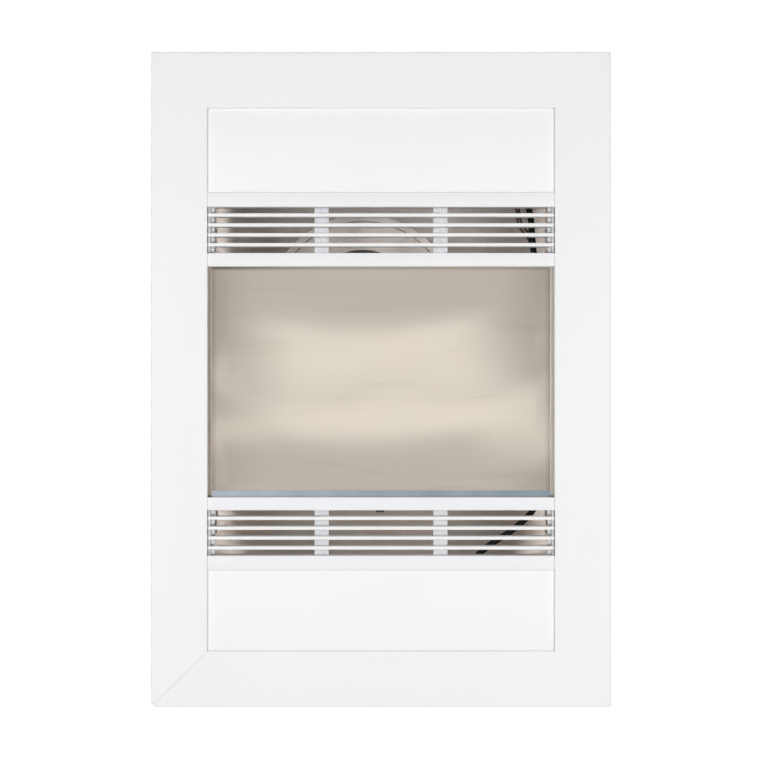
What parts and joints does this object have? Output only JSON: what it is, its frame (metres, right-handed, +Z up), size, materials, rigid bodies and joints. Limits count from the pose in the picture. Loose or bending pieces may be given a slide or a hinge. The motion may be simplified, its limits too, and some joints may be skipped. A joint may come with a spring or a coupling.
{
  "type": "bathroom heater exhaust fan",
  "caption": "Bathroom heater and exhaust unit with a mitred trim frame, bar grilles, a polished centre plate and a side duct spigot.",
  "frame": {"origin": "centre of the four fixing holes, on the wall or ceiling plane that the flange rests on", "axes": "+Y into the wall or ceiling, so the front faces -Y; +Z up the long side as pictured; +X to the right seen from the front"},
  "size_m": [0.405, 0.166, 0.57],
  "materials": {
    "trim_white": "satin white powder coat",
    "fascia_white": "smooth white enamel",
    "grille_white": "satin white powder coat",
    "crossbar_grey": "fine-lined anodised",
    "spring_steel": "zinc plated",
    "polished_stainless": "polished, slightly wavy",
    "plate_edge": "satin",
    "galvanised_sheet": "bright galvanised",
    "zinc_fixings": "zinc plated",
    "dark_polymer": "moulded",
    "cutout_phenolic": "moulded phenolic",
    "motor_enamel": "dark enamel",
    "rotor_metal": "rolled",
    "bright_steel": "ground",
    "bearing_bronze": "sintered",
    "duct_white": "moulded",
    "fin_aluminium": "rolled",
    "box_plastic": "moulded",
    "lead_sheath": "smooth black sheath",
    "wire_brown": "brown insulation"
  },
  "bodies": {
    "root": {"housing_back": "galvanised_sheet", "housing_sides": "galvanised_sheet", "housing_ends": "galvanised_sheet", "trim_rail_top": "trim_white", "trim_rail_bottom": "trim_white", "trim_rail_left": "trim_white", "trim_rail_right": "trim_white", "corner_keys": "zinc_fixings", "corner_key_screws": "zinc_fixings", "trim_clips": "spring_steel", "trim_clip_rivets": "zinc_fixings", "side_channels": "galvanised_sheet", "plate_channel_left": "plate_edge", "plate_channel_right": "plate_edge", "plate_ledge": "galvanised_sheet", "centre_plate": "polished_stainless", "blower_scroll": "galvanised_sheet", "blower_front_plate": "galvanised_sheet", "inlet_ring": "dark_polymer", "exhaust_motor": "motor_enamel", "motor_screws": "zinc_fixings", "duct_spigot": "duct_white", "damper_pin": "bright_steel", "heater_motor": "motor_enamel", "heater_bearing": "bearing_bronze", "heater_end_plates": "galvanised_sheet", "heater_casing": "galvanised_sheet", "heater_tongue": "galvanised_sheet", "ptc_frame": "dark_polymer", "ptc_elements": "fin_aluminium", "thermal_cutout": "cutout_phenolic", "partition_plate": "galvanised_sheet", "air_deflector": "galvanised_sheet", "terminal_box": "box_plastic", "terminal_block": "box_plastic", "terminal_lid": "box_plastic", "cable_gland": "dark_polymer", "run_capacitor": "box_plastic", "black_lead": "lead_sheath", "motor_wires": "wire_brown", "lead_clips": "box_plastic"},
    "upper_grille": {"upper_grille_rails": "grille_white", "upper_grille_blades": "grille_white", "upper_grille_crossbars": "crossbar_grey", "upper_grille_end_plates": "crossbar_grey", "upper_grille_springs": "spring_steel"},
    "lower_grille": {"lower_grille_rails": "grille_white", "lower_grille_blades": "grille_white", "lower_grille_crossbars": "crossbar_grey", "lower_grille_end_plates": "crossbar_grey", "lower_grille_springs": "spring_steel"},
    "upper_fascia": {"upper_fascia_panel": "fascia_white"},
    "lower_fascia": {"lower_fascia_panel": "fascia_white"},
    "exhaust_rotor": {"exhaust_impeller": "rotor_metal", "exhaust_shaft": "bright_steel", "impeller_nut": "zinc_fixings"},
    "heater_rotor": {"heater_impeller": "rotor_metal", "heater_shaft": "bright_steel"},
    "damper_front": {"damper_flap_front": "duct_white"},
    "damper_rear": {"damper_flap_rear": "duct_white"}
  },
  "joints": [
    {"name": "exhaust_spin", "type": "hinge", "parent": "root", "child": "exhaust_rotor", "pos_m": [-0.017, 0.1, 0.065], "axis": [0, 1, 0], "continuous": true},
    {"name": "heater_spin", "type": "hinge", "parent": "root", "child": "heater_rotor", "pos_m": [0, 0.072, -0.0548], "axis": [-1, 0, 0], "continuous": true},
    {"name": "damper_front_swing", "type": "hinge", "parent": "root", "child": "damper_front", "pos_m": [-0.166, 0.1025, 0.009], "axis": [0, 0, -1], "range_deg": [0, 75], "stiffness_Nm_per_rad": 0.004, "springref_deg": -11.46},
    {"name": "damper_rear_swing", "type": "hinge", "parent": "root", "child": "damper_rear", "pos_m": [-0.166, 0.1025, 0.009], "axis": [0, 0, 1], "range_deg": [0, 75], "stiffness_Nm_per_rad": 0.004, "springref_deg": -11.46},
    {"name": "upper_grille_pull", "type": "slide", "parent": "root", "child": "upper_grille", "axis": [0, -1, 0], "range_m": [0, 0.03]},
    {"name": "lower_grille_pull", "type": "slide", "parent": "root", "child": "lower_grille", "axis": [0, -1, 0], "range_m": [0, 0.03]},
    {"name": "upper_fascia_pull", "type": "slide", "parent": "root", "child": "upper_fascia", "axis": [0, -1, 0], "range_m": [0, 0.03]},
    {"name": "lower_fascia_pull", "type": "slide", "parent": "root", "child": "lower_fascia", "axis": [0, -1, 0], "range_m": [0, 0.03]}
  ]
}
